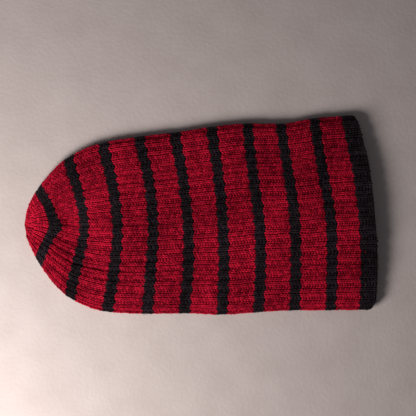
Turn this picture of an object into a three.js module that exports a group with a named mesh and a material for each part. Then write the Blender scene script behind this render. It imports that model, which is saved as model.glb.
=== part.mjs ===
// A long knitted nightcap in two-by-two rib, striped in two yarns and lying flat on its side.
// The crown points to -X, the mouth opens to +X, and the lower layer rests on Z = 0. Lengths are in millimetres.
// Each band of one yarn is a ring of ribbed wall that is open right through, and the last red band closes the crown.
// Any point of the knitting is found from its course (a round of stitches, counted from the mouth) and its turn
// (0 to 1 round the cap, from the far fold over the upper layer to the near fold and back underneath).
import * as THREE from "three";

// Driving dimensions
const CAP_LENGTH = 352; // from the crown's tip to the mouth
const CAP_WIDTH = 196; // across the mouth, from fold to fold
const FOLD_HEIGHT = 12; // of the cap as it lies, at its two folds
const SWELL = 4; // how far the middle of the upper layer stands above the folds
const MOUTH_LIFT = 1.2; // how far the upper layer springs up at the mouth
const KNIT_THICKNESS = 3.4; // of the wall, at the crest of a rib
const RIB_DEPTH = 1.4; // from the crest of a rib down to the purl valley beside it
const CREST_SHARE = 0.62; // of a rib's pitch that its two knit stitches take, the rest being the purl valley
const SCALLOP = 1.3; // how far a stripe's edge dips towards the mouth in a purl valley
const EDGE_ROUND = 1.2; // length over which the cast-on edge rounds off at the mouth
const BAND_GAP = 0.3; // clearance between the bands of two yarns

// The knitting, in ribs round the cap and courses along it
const RIB_COUNT = 34;
const EDGE_COURSES = 5;
const RED_COURSES = 9;
const BLACK_COURSES = 3;
const BLACK_SPREAD = 0.27; // courses by which the loftier black yarn spreads over the red at a stripe's edges
const EDGE_SPREAD = 0.8; // courses by which the cast-on edge spreads, because its stitches are the loosest
const STRIPE_COUNT = 9;
const COURSES = EDGE_COURSES + STRIPE_COUNT * (RED_COURSES + BLACK_COURSES) + RED_COURSES;
const SPRING_COURSES = 10; // over which the lift of the mouth dies out

// The sections of the cap as it lies, from the mouth to the crown's tip. at is a share of all the courses.
// far, upper, middle, lower and near say how far from the tip the course lies at five places across the cap, from the
// far fold to the near fold, in shares of CAP_LENGTH. farSide and nearSide are where its folds are, in shares of
// CAP_WIDTH. under and over are the heights of the two layers at the folds, in shares of FOLD_HEIGHT, and swell is
// how much of SWELL the upper layer has.
const SECTIONS = [
  { at: 0, far: 0.944, upper: 0.975, middle: 0.991, lower: 1, near: 0.998, farSide: 0.512, nearSide: -0.487, under: 0, over: 0.94, swell: 0.75 },
  { at: 0.127, far: 0.822, upper: 0.841, middle: 0.865, lower: 0.871, near: 0.868, farSide: 0.494, nearSide: -0.489, under: 0, over: 0.95, swell: 0.9 },
  { at: 0.225, far: 0.726, upper: 0.746, middle: 0.764, lower: 0.768, near: 0.766, farSide: 0.467, nearSide: -0.49, under: 0, over: 0.98, swell: 0.8 },
  { at: 0.324, far: 0.632, upper: 0.645, middle: 0.663, lower: 0.668, near: 0.663, farSide: 0.468, nearSide: -0.5, under: 0, over: 0.95, swell: 0.95 },
  { at: 0.422, far: 0.53, upper: 0.548, middle: 0.561, lower: 0.564, near: 0.56, farSide: 0.45, nearSide: -0.512, under: 0, over: 0.99, swell: 0.85 },
  { at: 0.521, far: 0.425, upper: 0.447, middle: 0.462, lower: 0.463, near: 0.452, farSide: 0.422, nearSide: -0.505, under: 0, over: 0.97, swell: 1 },
  { at: 0.619, far: 0.324, upper: 0.352, middle: 0.364, lower: 0.357, near: 0.347, farSide: 0.4, nearSide: -0.508, under: 0, over: 1, swell: 0.9 },
  { at: 0.717, far: 0.222, upper: 0.249, middle: 0.264, lower: 0.254, near: 0.234, farSide: 0.37, nearSide: -0.497, under: 0, over: 0.99, swell: 1 },
  { at: 0.816, far: 0.122, upper: 0.152, middle: 0.168, lower: 0.149, near: 0.126, farSide: 0.295, nearSide: -0.425, under: 0, over: 0.97, swell: 0.95 },
  { at: 0.914, far: 0.036, upper: 0.069, middle: 0.083, lower: 0.061, near: 0.036, farSide: 0.135, nearSide: -0.24, under: 0, over: 0.93, swell: 0.7 },
  { at: 0.967, far: 0.0095, upper: 0.022, middle: 0.027, lower: 0.021, near: 0.0095, farSide: 0.052, nearSide: -0.145, under: 0.02, over: 0.88, swell: 0.35 },
  { at: 0.984, far: 0.002, upper: 0.006, middle: 0.0075, lower: 0.006, near: 0.002, farSide: 0.008, nearSide: -0.108, under: 0.13, over: 0.76, swell: 0.1 },
  { at: 1, far: 0, upper: 0, middle: 0, lower: 0, near: 0, farSide: -0.052, nearSide: -0.052, under: 0.45, over: 0.45, swell: 0 },
];

// Soft hollows of the upper layer. from is their distance from the tip and long their length, in shares of
// CAP_LENGTH. across is their place beside the middle and wide their width, in shares of CAP_WIDTH, and deep is how
// far they go down, in shares of FOLD_HEIGHT. The first two are the dimple behind the crown's tip and its crease.
const DENTS = [
  { from: 0.092, across: -0.055, long: 0.03, wide: 0.05, deep: 0.34 },
  { from: 0.135, across: -0.115, long: 0.045, wide: 0.035, deep: 0.16 },
  { from: 0.31, across: 0.16, long: 0.09, wide: 0.16, deep: 0.1 },
  { from: 0.52, across: -0.2, long: 0.12, wide: 0.15, deep: 0.09 },
  { from: 0.72, across: 0.12, long: 0.1, wide: 0.2, deep: 0.08 },
  { from: 0.88, across: -0.22, long: 0.08, wide: 0.14, deep: 0.06 },
];

const YARNS = {
  red: new THREE.MeshStandardMaterial({ name: "red_wool", color: 0xa3122a, roughness: 0.95, metalness: 0 }),
  black: new THREE.MeshStandardMaterial({ name: "black_wool", color: 0x1c1a1d, roughness: 0.95, metalness: 0 }),
};

// The slopes of a smooth curve through one column of the table, which never overshoots its values
function columnSlopes(column) {
  const span = (i) => SECTIONS[i + 1].at - SECTIONS[i].at;
  const slope = (i) => (SECTIONS[i + 1][column] - SECTIONS[i][column]) / span(i);
  const last = SECTIONS.length - 1;
  return SECTIONS.map((_, i) => {
    if (i === 0) return slope(0);
    if (i === last) return slope(last - 1);
    const before = slope(i - 1);
    const after = slope(i);
    if (before * after <= 0) return 0;
    const beforeWeight = 2 * span(i) + span(i - 1);
    const afterWeight = span(i) + 2 * span(i - 1);
    return (beforeWeight + afterWeight) / (beforeWeight / before + afterWeight / after);
  });
}

const COLUMNS = Object.keys(SECTIONS[0]).filter((name) => name !== "at");
const SLOPES = Object.fromEntries(COLUMNS.map((name) => [name, columnSlopes(name)]));

// Every column of the table at one course
function sectionAt(course) {
  const at = THREE.MathUtils.clamp(course / COURSES, 0, 1);
  let i = SECTIONS.length - 2;
  while (i > 0 && SECTIONS[i].at > at) i -= 1;
  const span = SECTIONS[i + 1].at - SECTIONS[i].at;
  const t = (at - SECTIONS[i].at) / span;
  const section = {};
  for (const name of COLUMNS) {
    const values = SECTIONS[i][name] * (1 + 2 * t) * (1 - t) ** 2 + SECTIONS[i + 1][name] * (3 - 2 * t) * t ** 2;
    const slopes = SLOPES[name][i] * t * (1 - t) ** 2 - SLOPES[name][i + 1] * (1 - t) * t ** 2;
    section[name] = values + span * slopes;
  }
  return section;
}

// How far a course lies from the tip at one place across, from 1 at the far fold to -1 at the near fold
function reachAcross(section, across) {
  const places = [section.far, section.upper, section.middle, section.lower, section.near];
  const curve = new THREE.SplineCurve(places.map((share) => new THREE.Vector2(share * CAP_LENGTH, 0)));
  return curve.getPoint(THREE.MathUtils.clamp((1 - across) / 2, 0, 1)).x;
}

function dentDepth(x, y) {
  let depth = 0;
  for (const dent of DENTS) {
    const along = (x / CAP_LENGTH - dent.from) / dent.long;
    const beside = (y / CAP_WIDTH - dent.across) / dent.wide;
    depth += dent.deep * FOLD_HEIGHT * Math.exp(-along * along - beside * beside);
  }
  return depth;
}

// The sizes of a section, which is a flat tube with round folds: half of its flat stretch, a quarter of the
// way round its folds, and its whole girth
function girthOf(section) {
  const halfWidth = ((section.farSide - section.nearSide) / 2) * CAP_WIDTH;
  const halfHeight = ((section.over - section.under) / 2) * FOLD_HEIGHT;
  const foldRadius = Math.min(halfHeight, halfWidth);
  const straight = halfWidth - foldRadius;
  const quarter = (Math.PI / 2) * foldRadius;
  return { halfWidth, halfHeight, foldRadius, straight, quarter, girth: 4 * (straight + quarter) };
}

// A point of the smooth surface that the crests of the ribs touch
function crestPoint(course, turn) {
  const section = sectionAt(course);
  const { halfWidth, halfHeight, foldRadius, straight, quarter, girth } = girthOf(section);
  const wrapped = turn - Math.floor(turn);
  const isUpper = wrapped < 0.5;
  const walked = (isUpper ? wrapped : 1 - wrapped) * girth;
  let across;
  let rise;
  if (walked < quarter) {
    const angle = walked / foldRadius;
    across = straight + foldRadius * Math.cos(angle);
    rise = Math.sin(angle);
  } else if (walked <= quarter + 2 * straight) {
    across = straight + quarter - walked;
    rise = 1;
  } else {
    const angle = (walked - quarter - 2 * straight) / foldRadius;
    across = -straight - foldRadius * Math.sin(angle);
    rise = Math.cos(angle);
  }
  const x = reachAcross(section, halfWidth > 0 ? across / halfWidth : 0);
  const y = ((section.farSide + section.nearSide) / 2) * CAP_WIDTH + across;
  let z = ((section.over + section.under) / 2) * FOLD_HEIGHT + (isUpper ? 1 : -1) * rise * halfHeight;
  if (isUpper && straight > 0) {
    const fromFold = (1 - Math.min(1, Math.abs(across) / straight) ** 2) ** 2;
    const spring = MOUTH_LIFT * Math.max(0, 1 - course / SPRING_COURSES) ** 2;
    z += fromFold * (section.swell * SWELL + spring);
    z -= Math.min(1, 2 * fromFold) * dentDepth(x, y);
  }
  return new THREE.Vector3(x, y, z);
}

// The outward normal of the crest surface
function crestNormal(course, turn) {
  const step = 0.05;
  const swing = 0.002;
  const middle = THREE.MathUtils.clamp(course, step, COURSES - 2 * step);
  const alongCap = crestPoint(middle + step, turn).sub(crestPoint(middle - step, turn));
  const roundCap = crestPoint(middle, turn + swing).sub(crestPoint(middle, turn - swing));
  return alongCap.cross(roundCap).normalize();
}

// The length of one course of knitting here, measured on the crest surface
function courseHeight(course, turn) {
  const step = 0.05;
  const start = THREE.MathUtils.clamp(course - step, 0, COURSES - 2 * step);
  return crestPoint(start, turn).distanceTo(crestPoint(start + 2 * step, turn)) / (2 * step);
}

// A corner of the knitted wall, sunk below the crest surface and dipped towards the mouth
function wallCorner(course, turn, sunk, dip = 0) {
  const place = course - dip / courseHeight(course, turn);
  const normal = crestNormal(place, turn);
  return { point: crestPoint(place, turn).addScaledVector(normal, -sunk), normal };
}

// Moves a loop of corners along the wall towards the crown, square to the loop's own edges
function movedLoop(corners, length) {
  return corners.map(({ point, normal }, i) => {
    const before = corners[(i + corners.length - 1) % corners.length].point;
    const after = corners[(i + 1) % corners.length].point;
    const squareBefore = point.clone().sub(before).cross(normal).normalize();
    const squareAfter = after.clone().sub(point).cross(normal).normalize();
    const mitre = length / (1 + squareBefore.dot(squareAfter));
    return point.clone().addScaledVector(squareBefore.add(squareAfter), mitre);
  });
}

// One ring of corners round the cap: each rib has three on the outer face, at the start and end of its crest and in
// the valley after it, and one on the inner face. The edge ring, right at the mouth, is thinner and has no relief.
// The valleys and the scallop run out with the girth as the ribs are drawn together at the crown.
function ringOfCorners({ course, moved = 0, isEdge = false, isScalloped = true }) {
  const fullness = girthOf(sectionAt(course)).girth / girthOf(sectionAt(0)).girth;
  const crestDepth = isEdge ? RIB_DEPTH : 0;
  const valleyDepth = isEdge ? RIB_DEPTH : RIB_DEPTH * fullness;
  const insideDepth = isEdge ? KNIT_THICKNESS - EDGE_ROUND / 2 : KNIT_THICKNESS;
  const dip = isScalloped ? SCALLOP * fullness : 0;
  const outer = [];
  const inner = [];
  for (let rib = 0; rib < RIB_COUNT; rib += 1) {
    outer.push(wallCorner(course, (rib - CREST_SHARE / 2) / RIB_COUNT, crestDepth));
    outer.push(wallCorner(course, (rib + CREST_SHARE / 2) / RIB_COUNT, crestDepth));
    outer.push(wallCorner(course, (rib + 0.5) / RIB_COUNT, valleyDepth, dip));
    inner.push(wallCorner(course, rib / RIB_COUNT, insideDepth));
  }
  return { outer: movedLoop(outer, moved), inner: movedLoop(inner, moved) };
}

// Joins rings of corners into one closed wall. A tip, given as an outer and an inner point, closes the last ring.
function wallGeometry(rings, tip) {
  const outerCount = rings[0].outer.length;
  const innerCount = rings[0].inner.length;
  const perRib = outerCount / innerCount;
  const outerAt = (ring, i) => ring * (outerCount + innerCount) + (i % outerCount);
  const innerAt = (ring, i) => ring * (outerCount + innerCount) + outerCount + (i % innerCount);
  const last = rings.length - 1;
  const points = rings.flatMap((ring) => [...ring.outer, ...ring.inner]);
  const faces = [];

  for (let ring = 0; ring < last; ring += 1) {
    for (let i = 0; i < outerCount; i += 1) {
      faces.push(outerAt(ring, i), outerAt(ring + 1, i), outerAt(ring + 1, i + 1));
      faces.push(outerAt(ring, i), outerAt(ring + 1, i + 1), outerAt(ring, i + 1));
    }
    for (let i = 0; i < innerCount; i += 1) {
      faces.push(innerAt(ring, i), innerAt(ring, i + 1), innerAt(ring + 1, i + 1));
      faces.push(innerAt(ring, i), innerAt(ring + 1, i + 1), innerAt(ring + 1, i));
    }
  }

  // The end of the wall, as a fan of triangles from each inner corner, which faces the mouth
  const endTriangles = (ring) => {
    const triangles = [];
    for (let rib = 0; rib < innerCount; rib += 1) {
      const start = rib * perRib;
      for (let i = start; i < start + perRib - 1; i += 1) {
        triangles.push([innerAt(ring, rib), outerAt(ring, i), outerAt(ring, i + 1)]);
      }
      const valley = outerAt(ring, start + perRib - 1);
      triangles.push([innerAt(ring, rib), valley, innerAt(ring, rib + 1)]);
      triangles.push([innerAt(ring, rib + 1), valley, outerAt(ring, start + perRib)]);
    }
    return triangles;
  };
  for (const triangle of endTriangles(0)) faces.push(...triangle);
  if (tip) {
    const outerTip = points.push(tip.outer) - 1;
    const innerTip = points.push(tip.inner) - 1;
    for (let i = 0; i < outerCount; i += 1) faces.push(outerAt(last, i), outerTip, outerAt(last, i + 1));
    for (let i = 0; i < innerCount; i += 1) faces.push(innerAt(last, i + 1), innerTip, innerAt(last, i));
  } else {
    for (const triangle of endTriangles(last)) faces.push(...triangle.reverse());
  }

  const geometry = new THREE.BufferGeometry().setFromPoints(points);
  geometry.setIndex(faces);
  geometry.computeVertexNormals();
  return geometry;
}

function bandMesh(name, yarn, geometry) {
  const mesh = new THREE.Mesh(geometry, YARNS[yarn]);
  mesh.name = name;
  return mesh;
}

// The black cast-on edge, which rounds off at the mouth
function castOnEdge() {
  const rings = [
    ringOfCorners({ course: 0, isEdge: true, isScalloped: false }),
    ringOfCorners({ course: 0, moved: EDGE_ROUND, isScalloped: false }),
    ringOfCorners({ course: EDGE_COURSES + EDGE_SPREAD, moved: -BAND_GAP / 2 }),
  ];
  return bandMesh("cast_on_edge", "black", wallGeometry(rings));
}

// A band of one yarn. The red bands on the curve of the crown have one ring more.
function band(name, yarn, start, end) {
  const isOnCrown = yarn === "red" && start > COURSES - 3 * (RED_COURSES + BLACK_COURSES);
  const rings = [ringOfCorners({ course: start, moved: BAND_GAP / 2 })];
  if (isOnCrown) rings.push(ringOfCorners({ course: (start + end) / 2 }));
  rings.push(ringOfCorners({ course: end, moved: -BAND_GAP / 2 }));
  return bandMesh(name, yarn, wallGeometry(rings));
}

// The last red band, drawn together at the crown's tip
function crownTip(start) {
  const ringShares = [0.38, 0.66, 0.86];
  const rings = [ringOfCorners({ course: start, moved: BAND_GAP / 2 })];
  for (const share of ringShares) {
    rings.push(ringOfCorners({ course: start + share * (COURSES - start), isScalloped: false }));
  }
  const outer = crestPoint(COURSES, 0);
  const inner = outer.clone().add(new THREE.Vector3(KNIT_THICKNESS, 0, 0));
  return bandMesh("crown_tip", "red", wallGeometry(rings, { outer, inner }));
}

// The whole cap, with its origin in the middle of the face that it rests on
function nightcap() {
  const cap = new THREE.Group();
  cap.add(castOnEdge());
  let redStart = EDGE_COURSES + EDGE_SPREAD;
  for (let stripe = 1; stripe <= STRIPE_COUNT; stripe += 1) {
    const stripeEnd = EDGE_COURSES + stripe * (RED_COURSES + BLACK_COURSES) + BLACK_SPREAD;
    const stripeStart = stripeEnd - BLACK_COURSES - 2 * BLACK_SPREAD;
    cap.add(band(`red_band_${stripe}`, "red", redStart, stripeStart));
    cap.add(band(`black_stripe_${stripe}`, "black", stripeStart, stripeEnd));
    redStart = stripeEnd;
  }
  cap.add(crownTip(redStart));
  const box = new THREE.Box3().setFromObject(cap);
  const middle = box.getCenter(new THREE.Vector3());
  cap.position.set(-middle.x, -middle.y, -box.min.z);
  return cap;
}

export default nightcap();
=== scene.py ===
"""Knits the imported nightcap, with a rim of loops and loose fibres, and sets up its floor and light."""

import math
from functools import partial

import bpy
import numpy as np
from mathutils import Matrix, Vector


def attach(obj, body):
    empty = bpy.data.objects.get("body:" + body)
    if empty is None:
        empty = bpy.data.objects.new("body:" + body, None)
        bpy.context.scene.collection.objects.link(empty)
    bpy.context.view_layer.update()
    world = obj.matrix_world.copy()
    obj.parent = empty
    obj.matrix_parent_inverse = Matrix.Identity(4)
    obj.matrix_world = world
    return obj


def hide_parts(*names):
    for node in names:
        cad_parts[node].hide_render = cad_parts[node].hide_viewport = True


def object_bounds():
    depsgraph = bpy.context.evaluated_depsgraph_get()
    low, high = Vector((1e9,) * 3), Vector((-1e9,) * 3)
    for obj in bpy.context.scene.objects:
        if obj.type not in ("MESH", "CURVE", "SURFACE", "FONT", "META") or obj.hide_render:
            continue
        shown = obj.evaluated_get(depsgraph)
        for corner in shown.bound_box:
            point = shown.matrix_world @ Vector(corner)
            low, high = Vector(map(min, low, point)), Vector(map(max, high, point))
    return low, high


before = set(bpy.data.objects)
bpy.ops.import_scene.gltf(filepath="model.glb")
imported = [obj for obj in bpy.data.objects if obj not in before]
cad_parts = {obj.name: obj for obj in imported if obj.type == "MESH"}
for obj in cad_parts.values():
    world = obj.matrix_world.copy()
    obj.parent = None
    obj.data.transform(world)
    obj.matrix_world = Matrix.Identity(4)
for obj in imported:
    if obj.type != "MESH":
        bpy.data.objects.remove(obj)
CAD_LOW, CAD_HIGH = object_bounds()

bl_info = {
    "name": "Knitted Nightcap",
    "version": (1, 0, 0),
    "blender": (4, 5, 0),
    "location": "View3D > Sidebar > Nightcap",
    "description": "Knits a striped nightcap in two-by-two rib round its packed model",
    "category": "Object",
}

MM = 0.001

# The knitting, in ribs round the cap and courses along it from the mouth
RIBS = 34
STITCHES_EACH_RIB = 4  # two knit stitches and two purl stitches
EDGE_COURSES = 5
RED_COURSES = 9
BLACK_COURSES = 3
BLACK_SPREAD = 0.27  # courses by which the loftier black yarn spreads over the red at a stripe's edges
EDGE_SPREAD = 0.8  # courses by which the cast-on edge spreads, because its stitches are the loosest
STRIPES = 9
COURSES = EDGE_COURSES + STRIPES * (RED_COURSES + BLACK_COURSES) + RED_COURSES

# The form of the folded cap
CAP_LENGTH = 352 * MM
CAP_WIDTH = 196 * MM
FOLD_HEIGHT = 12 * MM
SWELL = 4 * MM  # by which the middle of the upper layer rises over its folds
MOUTH_LIFT = 1.2 * MM  # by which the upper layer springs up at the mouth
SPRING_COURSES = 10  # over which that lift fades
FOLD_ROUND = 17 * MM  # from a fold to where the upper layer lies level
FOLD_ROUND_SHARE = 0.5  # the most of the half width that the rounding takes
KNIT_THICKNESS = 3.4 * MM
LEAST_FLAT = 1e-6  # metres of flat stretch under which the upper layer has no swell
TINY = 1e-9  # keeps a division from being one by zero

# The sections of the cap as it lies, from the mouth to the crown's tip, as in the part's source. at is a
# share of the courses. far to near are how far from the tip the course lies at five places across, in shares
# of the length. far_side and near_side are the folds, in shares of the width. under and over are the heights
# of the two layers at the folds, in shares of the fold's height, and swell is how much of the swell there is.
SECTION_COLUMNS = "at far upper middle lower near far_side near_side under over swell".split()
SECTIONS = np.array([
    (0, 0.944, 0.975, 0.991, 1, 0.998, 0.512, -0.487, 0, 0.94, 0.75),
    (0.127, 0.822, 0.841, 0.865, 0.871, 0.868, 0.494, -0.489, 0, 0.95, 0.9),
    (0.225, 0.726, 0.746, 0.764, 0.768, 0.766, 0.467, -0.49, 0, 0.98, 0.8),
    (0.324, 0.632, 0.645, 0.663, 0.668, 0.663, 0.468, -0.5, 0, 0.95, 0.95),
    (0.422, 0.53, 0.548, 0.561, 0.564, 0.56, 0.45, -0.512, 0, 0.99, 0.85),
    (0.521, 0.425, 0.447, 0.462, 0.463, 0.452, 0.422, -0.505, 0, 0.97, 1),
    (0.619, 0.324, 0.352, 0.364, 0.357, 0.347, 0.4, -0.508, 0, 1, 0.9),
    (0.717, 0.222, 0.249, 0.264, 0.254, 0.234, 0.37, -0.497, 0, 0.99, 1),
    (0.816, 0.122, 0.152, 0.168, 0.149, 0.126, 0.295, -0.425, 0, 0.97, 0.95),
    (0.914, 0.036, 0.069, 0.083, 0.061, 0.036, 0.135, -0.24, 0, 0.93, 0.7),
    (0.967, 0.0095, 0.022, 0.027, 0.021, 0.0095, 0.052, -0.145, 0.02, 0.88, 0.35),
    (0.984, 0.002, 0.006, 0.0075, 0.006, 0.002, 0.008, -0.108, 0.13, 0.76, 0.1),
    (1, 0, 0, 0, 0, 0, -0.052, -0.052, 0.45, 0.45, 0),
])

# Soft hollows of the upper layer: distance from the tip, place beside the middle, length, width and depth,
# in shares of the cap's length, width and fold height. A depth below zero is a bulge. The first three are the
# hollow behind the tip with its creases, the next two the bulges beside it, the others hollows of the body.
DENTS = (
    (0.145, -0.07, 0.048, 0.13, 0.29),
    (0.118, -0.072, 0.02, 0.07, 0.19),
    (0.133, -0.13, 0.03, 0.025, 0.12),
    (0.056, -0.002, 0.03, 0.075, -0.28),
    (0.07, -0.215, 0.035, 0.05, -0.15),
    (0.31, 0.16, 0.09, 0.16, 0.1),
    (0.52, -0.2, 0.12, 0.15, 0.09),
    (0.72, 0.12, 0.1, 0.2, 0.08),
    (0.88, -0.22, 0.08, 0.14, 0.06),
)

# Where that hollow gathers the knitting towards the mouth: its place, reach and pull, in shares as above
GATHER = (0.102, -0.062, 0.021, 0.04, 0.0128)

# The yarn, its stitches and the ribs
STITCH_SPAN = 3.5 * MM  # width of a knit stitch
COURSE_SPAN = 2.96 * MM  # height of a course
YARN_SINK = 0.88 * MM  # from the crest surface down to the middle of the yarn
VALLEY_SINK = 1.45 * MM  # the whole sink of a valley, from a rib's crest to the purl stitches beside it
CREST_SHARE = 0.68  # share of a rib and its valley that the knit stitches take
CREST_FLAT = 0.3  # share of the way from a crest's middle to a valley's that stays level
SCALLOP = 0.75  # courses by which the valleys dip towards the mouth
SCALLOP_RISE = 3  # courses from the mouth over which that dip grows
SCALLOP_FADE = 6  # courses before the tip over which it fades
RIB_SWAY = ((0.16, 3, 0.1), (0.12, 8, 0.55))  # two waves: share of a rib, waves round the cap and start
CROWN_COLUMNS = ((0, 4, 2), (101, 3, 2), (110, 2, 1), (113, 1, 1))  # first course, a rib's columns, knits
LAST_COURSES = 4  # in which pairs of ribs are drawn together at the crown's tip
RIM_START = -0.15  # the course at which the loops over the rim begin
SURFACE_MARGIN = 2  # columns or courses that a guide surface goes on past its band
GUIDE_EACH_COLUMN = 3  # points of a guide surface
GUIDE_EACH_COURSE = 2
LEAST_AGREEMENT = 0.2  # cosine to the smooth normal under which a guide's own normal isn't used

# How deep the valleys are, in shares of their whole sink. Two slow waves make some flatter than others, and
# one shifts the other. Each has a height, and its turns for each valley and for each course. The valleys are
# deeper towards the near fold, and most of all where the crown folds.
VALLEY_MEAN = 0.72
VALLEY_WAVE = (0.28, 0.618, 0.019)
VALLEY_DRIFT = (0.35, 0.37, 0.011)
NEAR_FOLD_DEPTH = 0.15
CROWN_DEPTH = 0.9
CROWN_COURSES = 38  # from the tip, over which the crown's valleys are deeper
CROWN_RISE = 12  # courses in which that grows
CROWN_MIDDLE = 0.38  # turns round the cap to where it is most
CROWN_REACH = 0.13  # turns over which it fades on either side

# The two corners of the mouth
CORNER_COURSES = 3  # over which they are rounded
CORNER_TURNS = 0.045  # round the cap, on either side of a fold, that a corner's rounding takes
CORNER_PULL = 4.5 * MM  # by which they are drawn in along the cap
CORNER_TUCK = 2.4 * MM  # by which they are drawn in across it
CORNER_FAR_SHARE = 0.5  # how much of that the far corner has

# The cloth behind the yarn
BACKING_SINK = 0.45 * MM  # from the middle of the yarn down to the cloth
LINING_SINK = 1 * MM  # from the middle of the outer yarn down to the middle of the inner yarn
LINED_THICKNESS = 0.12 * MM  # of the cloth where it has yarn on both sides
INNER_VALLEY_SINK = 0.4 * MM  # depth of the valleys on its inner face where it has none
BACKING_EACH_COURSE = 2 / 3  # points of the cloth
BACKING_EACH_RIB = 6
OUTER_TIP = 0.985  # share of the last band's courses at which its outer face closes
INNER_TIP = 0.93  # the same for its inner face

# The most that a surface may sink, in shares of a fold's radius
YARN_MOST_SINK = 0.62
BACKING_MOST_SINK = 0.66
LINED_MOST_SINK = 0.72
INNER_MOST_SINK = 0.8

# The yarn of one stitch: its place across, along and up, half width and half height, in millimetres
KNIT_LEG = (
    (0.28, -2.2, -0.25, 0, 0),
    (0.38, -1.45, 0.06, 0.54, 0.55),
    (0.72, -0.1, 0.18, 0.57, 0.66),
    (0.97, 1.2, 0.12, 0.54, 0.58),
    (1.02, 2.1, -0.3, 0, 0),
)
PURL_BUMP = (
    (-1.75, -0.6, -0.35, 0, 0),
    (-0.95, 0.1, 0, 1.35, 0.44),
    (0, 0.35, 0.1, 1.5, 0.5),
    (0.95, 0.1, 0, 1.35, 0.44),
    (1.75, -0.6, -0.35, 0, 0),
)
RIM_LOOP = (
    (-1.5, 1.5, 0.1, 0, 0),
    (-0.9, 0.1, 0.35, 1.1, 0.6),
    (-0.1, -0.75, -0.5, 1.15, 0.6),
    (0.7, 0.1, -1.4, 1.1, 0.6),
    (1.4, 1.5, -1.2, 0, 0),
)
LOOSE_FIBRE = (
    (-2.6, 0.3, 0.1, 0, 0),
    (-1.3, -0.2, 0.75, 0.07, 0.06),
    (0.2, -0.3, 1.05, 0.07, 0.06),
    (1.5, 0.2, 1.2, 0.05, 0.05),
    (2.7, 0.9, 1.5, 0, 0),
)
YARN_ANGLES = (-156, 146, 90, 34, -24)  # degrees round a section of yarn to its corners
FIBRE_ANGLES = (-150, 90, -30)

# How unlike each other the stitches are at an unevenness of 1
STITCH_TURN = 0.2  # radians
STITCH_GROWTH = 0.13
STITCH_TALLNESS = 0.4
WAVER_SCALE = 0.3
WAVER_DETAIL = 2
WAVER_ACROSS = 0.4  # columns
WAVER_ALONG = 0.9  # courses
# Painted shade: purl stitches, down in the valleys, are given a tone lower by this
PURL_PAINTED_SHADE = 0.1  # by which the tone of a purl stitch is lower
LEAST_FIBRE = (0.5, 0.5, 0.35)
LARGEST_FIBRE = (1.15, 1.15, 1.35)
SEEDS_EACH_COURSE = 10

# The wool's surface
WOOL_SHADES = (("Dark", 0.4), ("Middle", 1), ("Bright", 1.7))  # brightness beside the wool's own colour
MOST_COLOUR = 0.95
STITCH_VARIATION = 0.6
PATCH_VARIATION = (22, 2, 0.9)  # scale, detail and share
FIBRE_VARIATION = (1500, 3, 1.1)
YARN_TWIST = (("Plies", 2), ("Twist", 2.5), ("Depth", 0.6))
PLY_HEIGHT = 0.35
YARN_GRAIN = (2600, 3)  # scale and detail
YARN_BUMP = 0.25 * MM
SHEEN_TINT = 1.6  # brightness beside the wool's own colour
WOOL_FINISH = (
    ("Roughness", 0.9),
    ("Diffuse Roughness", 1),
    ("Specular IOR Level", 0.02),
    ("Sheen Weight", 0.05),
    ("Sheen Roughness", 0.45),
)

# The two specks of red wool, each of three strands of yarn
SPECK_PLACES = ((127.8 * MM, 24.5 * MM), (163.5 * MM, -38 * MM))
SPECK_ANGLES = (0.2, 1.1, 2.3)
SPECK_STRAND = (
    (-0.9, -0.35, 0, 0),
    (-0.4, 0.1, 0.3, 0.24),
    (0.1, 0.25, 0.34, 0.26),
    (0.5, 0.2, 0.26, 0.2),
    (0.8, 0.1, 0, 0),
)  # place along and up, half width and half height, in millimetres
SEARCH_COURSES = (0, 20, 241)  # first, last and number of the courses where a speck's place is looked for
SEARCH_TURNS = (0.02, 0.48, 1200)  # the same round the cap

# The stage
FLOOR_REACH = 3.0
FLOOR_SINK = 0.2 * MM
FLOOR_DARK = (0.54, 0.452, 0.436, 1)
FLOOR_PALE = (0.67, 0.58, 0.565, 1)
FLOOR_CLOUDS = (30, 4)  # scale and detail
FLOOR_GRAIN = (260, 4)
FLOOR_BUMP = (0.6 * MM, 0.4)  # distance and strength
FLOOR_FINISH = (("Roughness", 0.95), ("Specular IOR Level", 0.1))
LAMP_PLACE = (-0.47, -0.38, 0.39)
LAMP_TARGET = (-0.27, -0.03, 0)
CAMERA_PLACE = (0.0072, 0.0056)
SHARP_HEIGHT = 8 * MM  # height over the floor at which the view has its stated width
SENSOR_WIDTH = 36


def section_slopes():
    """The slopes of a smooth curve through each column of the table, which never overshoots its values."""
    at = SECTIONS[:, 0]
    span = np.diff(at)[:, None]
    rise = np.diff(SECTIONS, axis=0) / span
    slopes = np.zeros_like(SECTIONS)
    slopes[0] = rise[0]
    slopes[-1] = rise[-1]
    before, after = rise[:-1], rise[1:]
    before_weight = 2 * span[1:] + span[:-1]
    after_weight = span[1:] + 2 * span[:-1]
    same_way = before * after > 0
    safe_before = np.where(same_way, before, 1)
    safe_after = np.where(same_way, after, 1)
    mean = (before_weight + after_weight) / (before_weight / safe_before + after_weight / safe_after)
    slopes[1:-1] = np.where(same_way, mean, 0)
    return slopes


SLOPES = section_slopes()


def section_at(course):
    """Every column of the table at each of an array of courses, as a dictionary of arrays."""
    at = np.clip(course / COURSES, 0, 1)
    row = np.clip(np.searchsorted(SECTIONS[:, 0], at, side="right") - 1, 0, len(SECTIONS) - 2)
    span = (SECTIONS[row + 1, 0] - SECTIONS[row, 0])[..., None]
    t = ((at - SECTIONS[row, 0]) / span[..., 0])[..., None]
    values = SECTIONS[row] * (1 + 2 * t) * (1 - t) ** 2 + SECTIONS[row + 1] * (3 - 2 * t) * t**2
    values = values + span * (SLOPES[row] * t * (1 - t) ** 2 - SLOPES[row + 1] * (1 - t) * t**2)
    return {name: values[..., i] for i, name in enumerate(SECTION_COLUMNS)}


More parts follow.
